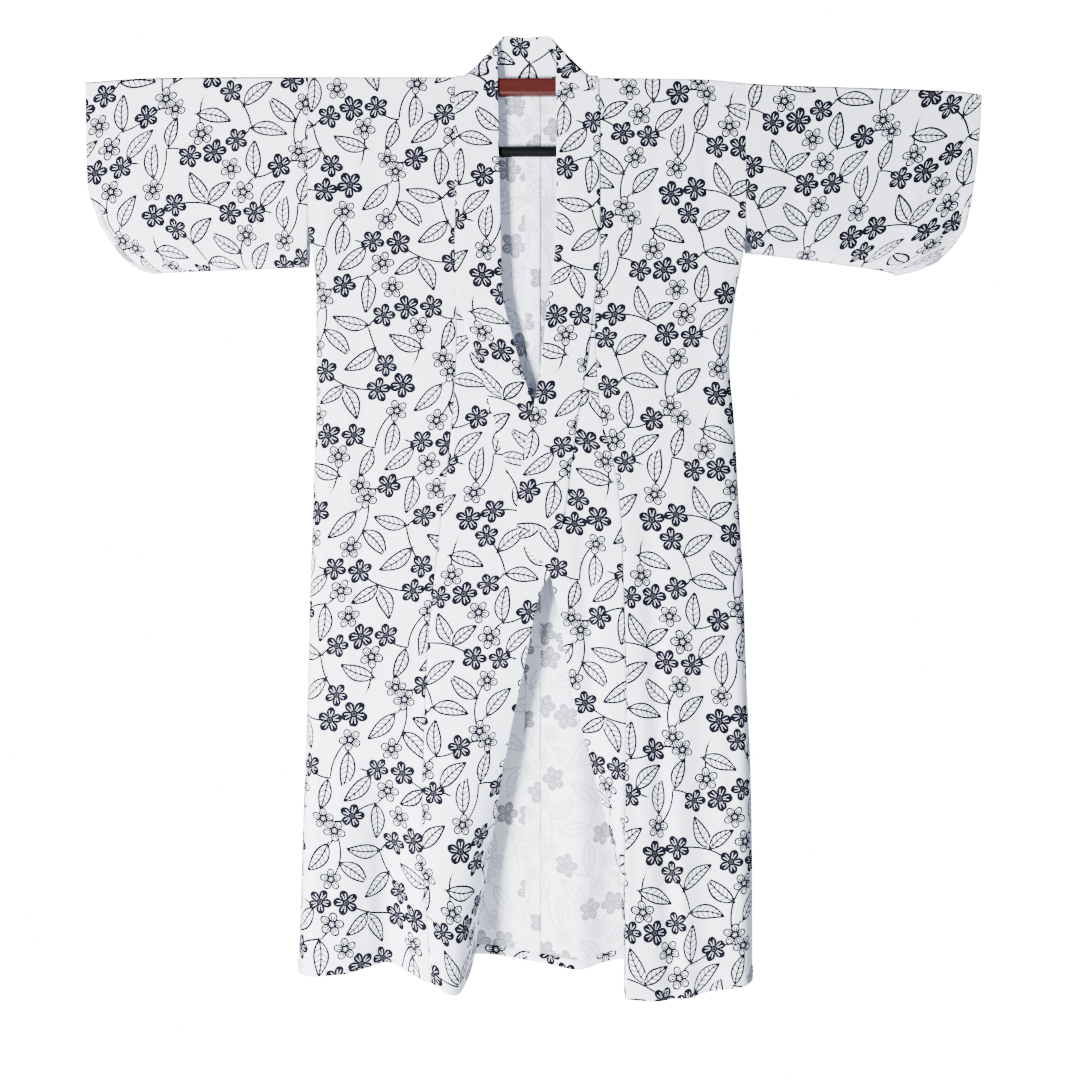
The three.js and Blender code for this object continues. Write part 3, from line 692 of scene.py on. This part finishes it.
def flowerInk(place):
    # packed in z: the turn in hundredths, the radius in tenths, and 2 for a solid flower
    flower = nearest(place, [
        (x, y, 0.01 * (turn / 90 + 1) + 0.1 * (radius - 10) + 2 * solid)
        for x, y, radius, turn, solid in flowers
    ])
    x, y, z = flower.parts()
    solid = z.above(1.5)
    tenths = (z - 2 * solid) * 10
    radius = tenths.math("FLOOR", tenths)
    spin = (tenths - radius) * 10 * (math.pi / 2)
    radius = radius + 10
    share = x.math("SQRT", x * x + y * y) / radius
    sector = math.pi / petal["count"]
    folded = (x.math("ARCTAN2", y, x) + spin).wrapped(sector)
    aside = folded.size()
    side = share * aside.math("SINE", aside)
    ahead = (share * folded.math("COSINE", folded) - petal["middle"]) / petal["long"]
    across = side / petal["wide"]
    form = x.math("SQRT", ahead * ahead + across * across)
    toNext = sector - aside
    fromGap = share * toNext.math("SINE", toNext) - ink["gap"] * (share - 0.4)
    inPetal = form.below(1).most(solid * share.below(0.5)) * fromGap.above(0).most(1 - solid)
    thin = (ink["vees"] - (ink["vees"] - ink["solidVein"]) * solid) / radius
    veins = (side - petal["fan"] * share).near(0, thin) * share.within(petal["from"], petal["to"])
    ring = share.near(0.12, 0.03)
    rim = form.near(1 - ink["rim"], ink["rim"]) * share.above(0.16)
    solidInk = inPetal * (1 - (1 - ink["solidLight"]) * veins) * (1 - ink["ringLight"] * ring) * solid
    outline = rim.most(inPetal * veins).most(ring) * (1 - solid)
    return solidInk, outline, inPetal.most(share.below(0.2))


def leafInk(place):
    # packed in z: the tip's way in thousandths, and 1 for a smaller leaf
    leaf = nearest(place, [(x, y, 0.001 * (turn + 180) + small) for x, y, turn, small in leaves])
    x, y, z = leaf.parts()
    small = z.above(0.7)
    turn = ((z - small) * 1000 - 180) * (math.pi / 180)
    size = 1 - (1 - leafShape["small"]) * small
    cosine, sine = turn.math("COSINE", turn), turn.math("SINE", turn)
    ahead = x * cosine + y * sine
    aside = (y * cosine - x * sine + ahead * ahead * leafShape["bend"] - leafShape["shift"]).size()
    along = ahead / (leafShape["half"] * size)
    bound = leafShape["width"] * size * (1 - along * along) * (1 - leafShape["taper"] * along)
    onLeaf = along.within(-1, 1)
    edge = (aside - bound).near(0, ink["edge"]) * onLeaf
    slant = (ahead - leafShape["slant"] * aside).wrapped(leafShape["vein"] / 2)
    veins = slant.near(0, ink["vein"]) * (bound * leafShape["short"] - aside).above(0)
    veins = veins * along.within(leafShape["from"], leafShape["to"])
    midrib = aside.below(ink["rib"]) * along.within(-1.12, 0.92)
    return edge.most(midrib).most(veins), aside.below(bound) * onLeaf


def stemInk(place):
    lines = None
    for stem in stems:
        middle, reach, heading, cosine = arcOf(*stem)
        here = wrappedPlace(place, *middle)
        forward = here.vector("DOT_PRODUCT", here, (math.cos(heading), math.sin(heading), 0), output=1)
        arc = here.length().near(reach, ink["stem"]) * forward.above(reach * cosine)
        lines = arc if lines is None else lines.most(arc)
    return lines


def flowerPrint():
    group = bpy.data.node_groups.new("flower print", "ShaderNodeTree")
    group.interface.new_socket(name="Place", in_out="INPUT", socket_type="NodeSocketVector")
    group.interface.new_socket(name="Solid", in_out="OUTPUT", socket_type="NodeSocketFloat")
    group.interface.new_socket(name="Lines", in_out="OUTPUT", socket_type="NodeSocketFloat")
    start = Wire(group).node("NodeGroupInput", {}, {})
    values = {"Vector": start, "Angle": math.radians(tile["turn"])}
    turned = start.node("ShaderNodeVectorRotate", {"rotation_type": "Z_AXIS"}, values)
    wander = turned.noise(tile["scale"], 1.0, output=1)
    reach = tile["wander"]
    wander = wander.vector("MULTIPLY_ADD", wander, (reach, reach, 0), (-reach / 2, -reach / 2, 0))
    place = turned.vector("MULTIPLY", turned.vector("ADD", turned, wander), (1, 1, 0))
    solid, outline, flowerHere = flowerInk(place)
    leafLines, leafHere = leafInk(place)
    lines = (stemInk(place) * (1 - leafHere)).most(leafLines) * (1 - flowerHere)
    start.node("NodeGroupOutput", {}, {0: solid, 1: lines.most(outline)})
    return group


def newMaterial(name):
    material = bpy.data.materials.new(name)
    material.use_nodes = True
    return material, Wire(material.node_tree), material.node_tree.nodes["Principled BSDF"]


cotton = {
    "white": (0.81, 0.835, 0.92, 1), "ink": (0.0013, 0.0008, 0.0055, 1), "shadow": (0.62, 0.64, 0.70, 1),
    "threads": (2600, 90), "slub": 0.12, "roughness": 0.92, "gloss": 0.08, "bump": (0.35, 0.00025),
}
# how strongly the print shows through on the reverse
throughCloth = {"solid": 0.6, "uneven": 0.2, "lines": 0.3}


def clothMaterial(name, offset, turn, inside):
    material, start, shader = newMaterial(name)
    cut = start.node("ShaderNodeUVMap", {"uv_map": "cut"}, {})
    place = start.node("ShaderNodeMapping", {}, {
        "Vector": cut, "Location": (*offset, 0), "Rotation": (0, 0, math.radians(turn)),
        "Scale": (1000, 1000, 1),
    })
    solid = start.node("ShaderNodeGroup", {"node_tree": printed}, {0: place})
    lines = solid.also(1)
    fine, coarse = cotton["threads"]
    weave = cut.stretched((fine, coarse, 1)).noise(1.0, 1.0)
    weave = weave + cut.stretched((coarse, fine, 1)).noise(1.0, 1.0)
    if inside:
        uneven = throughCloth["uneven"] * place.noise(0.006, 2.0)
        inked = solid * (throughCloth["solid"] + uneven) + lines * throughCloth["lines"]
    else:
        inked = solid.most(lines) * (0.96 + 0.04 * weave)
    white = ((weave - 0.8) * cotton["slub"]).between("RGBA", cotton["white"], cotton["shadow"])
    start.fill(shader, {
        "Base Color": inked.between("RGBA", white, cotton["ink"]), "Normal": weave.bump(*cotton["bump"]),
        "Roughness": cotton["roughness"], "Specular IOR Level": cotton["gloss"],
    })
    return material


printed = flowerPrint()
print("print charted")

# each piece's flat size, its place and turn on the printed cloth, and its flat area where it is pointed
cutPieces = {
    "front_cloth_right": {"node": "front_right", "flat": (0.24, 1.36), "place": (0, 40), "turn": 3},
    "front_cloth_left": {"node": "front_left", "flat": (0.24, 1.37), "place": (150, 210), "turn": -176},
    "back_cloth_right": {"node": "back_right", "flat": (0.345, 1.36), "place": (60, 330), "turn": 4},
    "back_cloth_left": {"node": "back_left", "flat": (0.345, 1.37), "place": (210, 90), "turn": 180},
    "okumi_cloth_right": {
        "node": "okumi_right", "flat": (0.18, 1.06), "area": 0.126, "place": (120, 75), "turn": 178,
    },
    "okumi_cloth_left": {
        "node": "okumi_left", "flat": (0.18, 1.05), "area": 0.08, "place": (30, 180), "turn": 2,
    },
    "sleeve_cloth_right": {"node": "sleeve_right", "flat": (0.62, 0.35), "place": (95, 20), "turn": 90},
    "sleeve_cloth_left": {"node": "sleeve_left", "flat": (0.62, 0.36), "place": (160, 145), "turn": -88},
    "collar_strip": {
        "node": "collar_band", "flat": (0.124, 1.72), "place": (20, 110), "turn": 1, "wall": 0.5,
    },
}


def addSheet(name, places, fromRight=False):
    piece = cutPieces[name]
    outer = clothMaterial(f"{name} face", piece["place"], piece["turn"], False)
    inner = clothMaterial(f"{name} reverse", piece["place"], piece["turn"], True)
    cloth = sheetObject(name, places, [outer, inner], piece.get("wall", wall), fromRight)
    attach(cloth, "root")
    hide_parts(piece["node"])
    print(f"{name} sewn")


def addAllowance(name, places, beside):
    inner = clothMaterial(f"{name} reverse", beside["place"], beside["turn"], True)
    strip = sheetObject(name, places, [inner, inner], allowanceStrip["wall"])
    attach(strip, "root")
    return strip


allowance = addAllowance("back_seam_allowance", allowancePlaces()[:, ::-1], cutPieces["back_cloth_left"])
addSheet("front_cloth_right", frontPlaces(rightHalf)[:, ::-1])
addSheet("front_cloth_left", frontPlaces(leftHalf))
addSheet("back_cloth_right", backPlaces(rightHalf))
addSheet("back_cloth_left", backPlaces(leftHalf)[:, ::-1])
addSheet("okumi_cloth_right", okumiPlaces(rightHalf)[:, ::-1], fromRight=True)
addSheet("okumi_cloth_left", okumiPlaces(leftHalf))
addSheet("sleeve_cloth_right", sleevePlaces(rightSleeve))
addSheet("sleeve_cloth_left", sleevePlaces(leftSleeve)[:, ::-1])
addSheet("collar_strip", collarPlaces())

barWood = {
    "dark": (0.03, 0.0012, 0.0004, 1), "light": (0.055, 0.0032, 0.0011, 1), "grain": (14, 260, 420),
    "fine": (90, 1900, 2600), "gloss": 0.25, "bump": (0.15, 0.0001),
}
rodPaint = {
    "dark": (0.0012, 0.0012, 0.0016, 1), "light": (0.0026, 0.0026, 0.0032, 1), "gloss": 0.06,
    "bump": (0.1, 0.00005),
}


def woodMaterial():
    material, start, shader = newMaterial("stained wood")
    where = start.node("ShaderNodeTexCoord", {}, {}, "Object")
    grain = where.stretched(barWood["grain"]).noise(1.0, 4.0, roughness=0.6)
    fine = where.stretched(barWood["fine"]).noise(1.0, 2.0)
    tone = (grain * 0.75 + fine * 0.25 - 0.3) * 1.6
    start.fill(shader, {
        "Base Color": tone.between("RGBA", barWood["dark"], barWood["light"]),
        "Roughness": 0.42 + 0.16 * grain, "Normal": fine.bump(*barWood["bump"]),
        "Specular IOR Level": barWood["gloss"],
    })
    return material


def paintMaterial():
    material, start, shader = newMaterial("black paint")
    where = start.node("ShaderNodeTexCoord", {}, {}, "Object")
    wear = where.noise(40.0, 3.0)
    start.fill(shader, {
        "Base Color": wear.between("RGBA", rodPaint["dark"], rodPaint["light"]),
        "Roughness": 0.5 + 0.2 * wear, "Normal": where.noise(900.0, 2.0).bump(*rodPaint["bump"]),
        "Specular IOR Level": rodPaint["gloss"],
    })
    return material


wood, paint = woodMaterial(), paintMaterial()
finishes = {"hanger_bar": wood, "hanger_rod": paint, "rod_strap_right": paint, "rod_strap_left": paint}
for node, material in finishes.items():
    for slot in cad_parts[node].material_slots:
        slot.material = material
print("hanger finished")

# a pale floor well below the hem, out of the main view
floorDisc = {"radius": 1.15, "height": -1.98, "colour": (0.8, 0.8, 0.8, 1)}
work = bmesh.new()
bmesh.ops.create_circle(work, cap_ends=True, segments=96, radius=floorDisc["radius"])
bmesh.ops.translate(work, verts=work.verts, vec=(0, 0, floorDisc["height"]))
floorMesh = bpy.data.meshes.new("floor")
work.to_mesh(floorMesh)
work.free()
floor = bpy.data.objects.new("floor", floorMesh)
bpy.context.collection.objects.link(floor)
floorPaint, start, shader = newMaterial("floor paint")
start.fill(shader, {"Base Color": floorDisc["colour"]})
floorMesh.materials.append(floorPaint)

camera = bpy.data.objects.new("camera", bpy.data.cameras.new("camera"))
camera.data.sensor_width = 36
camera.data.lens = 45.05
camera.location = (0.0192, -2.0, -0.682)
camera.rotation_euler = (math.radians(90), 0, 0)
bpy.context.collection.objects.link(camera)
bpy.context.scene.camera = camera

lights = {
    "key": {
        "place": (-1.35, -1.9, -1.15), "aim": (0, 0, -0.7), "size": 0.6, "power": 330,
        "colour": (1, 0.99, 0.98),
    },
    "behind": {
        "place": (1.4, 3.2, 0.8), "aim": (0, 0, -0.6), "size": 2.0, "power": 420, "colour": (1, 1, 1),
    },
    "fill": {
        "place": (2.2, -3.4, -0.4), "aim": (0, 0, -0.7), "size": 2.4, "power": 60,
        "colour": (0.84, 0.9, 1),
    },
}
for name, light in lights.items():
    lamp = bpy.data.lights.new(name, "AREA")
    lamp.size = light["size"]
    lamp.energy = light["power"]
    lamp.color = light["colour"]
    holder = bpy.data.objects.new(name, lamp)
    holder.location = light["place"]
    x, y, z = np.array(light["aim"]) - np.array(light["place"])
    holder.rotation_euler = (math.atan2(math.hypot(x, y), -z), 0, math.atan2(y, x) - math.pi / 2)
    bpy.context.collection.objects.link(holder)

# the room lights softly with a blue tint, and the camera sees plain white behind the robe
room = {"seen": 22.0, "soft": 0.46, "tint": (0.62, 0.76, 1, 1)}
world = bpy.data.worlds.new("studio")
world.use_nodes = True
world.node_tree.nodes.clear()
bpy.context.scene.world = world
start = Wire(world.node_tree)
seen = start.node("ShaderNodeLightPath", {}, {}, "Is Camera Ray")
soft = start.node("ShaderNodeBackground", {}, {"Color": room["tint"], "Strength": room["soft"]})
clear = start.node("ShaderNodeBackground", {}, {"Color": (1, 1, 1, 1), "Strength": room["seen"]})
around = start.node("ShaderNodeMixShader", {}, {0: seen, 1: soft, 2: clear})
start.node("ShaderNodeOutputWorld", {}, {0: around})
print("stage set")
